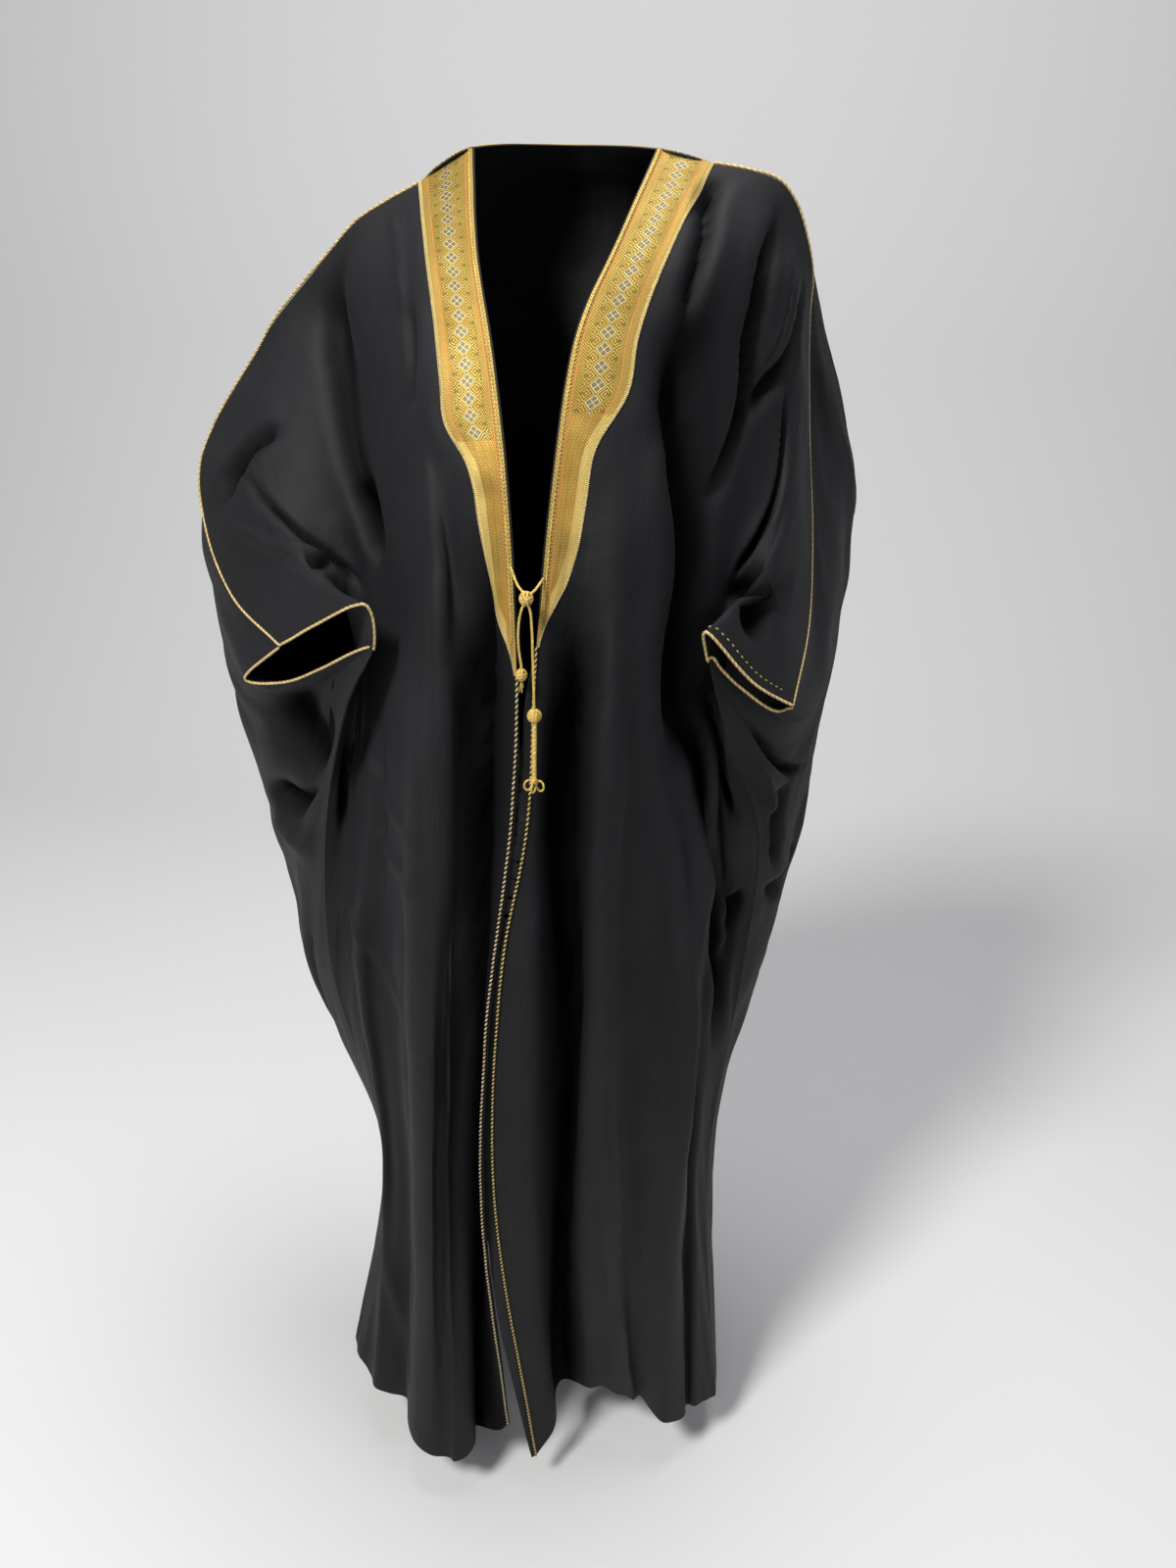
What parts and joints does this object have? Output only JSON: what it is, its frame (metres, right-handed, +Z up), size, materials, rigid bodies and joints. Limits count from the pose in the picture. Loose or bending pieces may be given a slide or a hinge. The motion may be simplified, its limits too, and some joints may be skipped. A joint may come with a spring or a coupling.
{
  "type": "bisht cloak",
  "caption": "Long open-fronted black cloak cut wide with short batwing sleeves, gold woven neck band, pale piping and a tasselled tie, in its worn hollow form",
  "frame": {"origin": "centre of the neck opening at the height of the neck-side ends of the top seams, where the wearer's shoulders carry it", "axes": "+Z up, the open front faces -Y, +X is the wearer's left"},
  "size_m": [0.7212, 0.4743, 1.4455],
  "materials": {
    "black_cloth": "fine crepe weave, soft dull sheen",
    "gold_band": "woven metallic thread, satin",
    "edge_cord": "twisted gold and black thread",
    "pale_piping": "pale gold wrapped cord",
    "gold_cord": "bright twisted gold cord"
  },
  "bodies": {
    "root": {"back": "black_cloth", "front_left": "black_cloth", "front_right": "black_cloth", "band_left": "gold_band", "band_right": "gold_band", "band_neck": "gold_band", "cord_edge_left": "edge_cord", "cord_edge_right": "edge_cord", "piping_top_left": "pale_piping", "piping_top_right": "pale_piping", "piping_cuff_left_back": "pale_piping", "piping_cuff_left_front": "pale_piping", "piping_cuff_right_back": "pale_piping", "piping_cuff_right_front": "pale_piping", "tie_cord_left": "gold_cord", "tie_cord_right": "gold_cord", "tie_knot": "gold_cord", "tie_tail_left": "gold_cord", "tie_tail_right": "gold_cord", "tie_end_knot": "gold_cord", "tie_ball_knot": "gold_cord", "tie_braid": "gold_cord", "tie_loop_a": "gold_cord", "tie_loop_b": "gold_cord", "tie_loop_c": "gold_cord"}
  },
  "joints": []
}
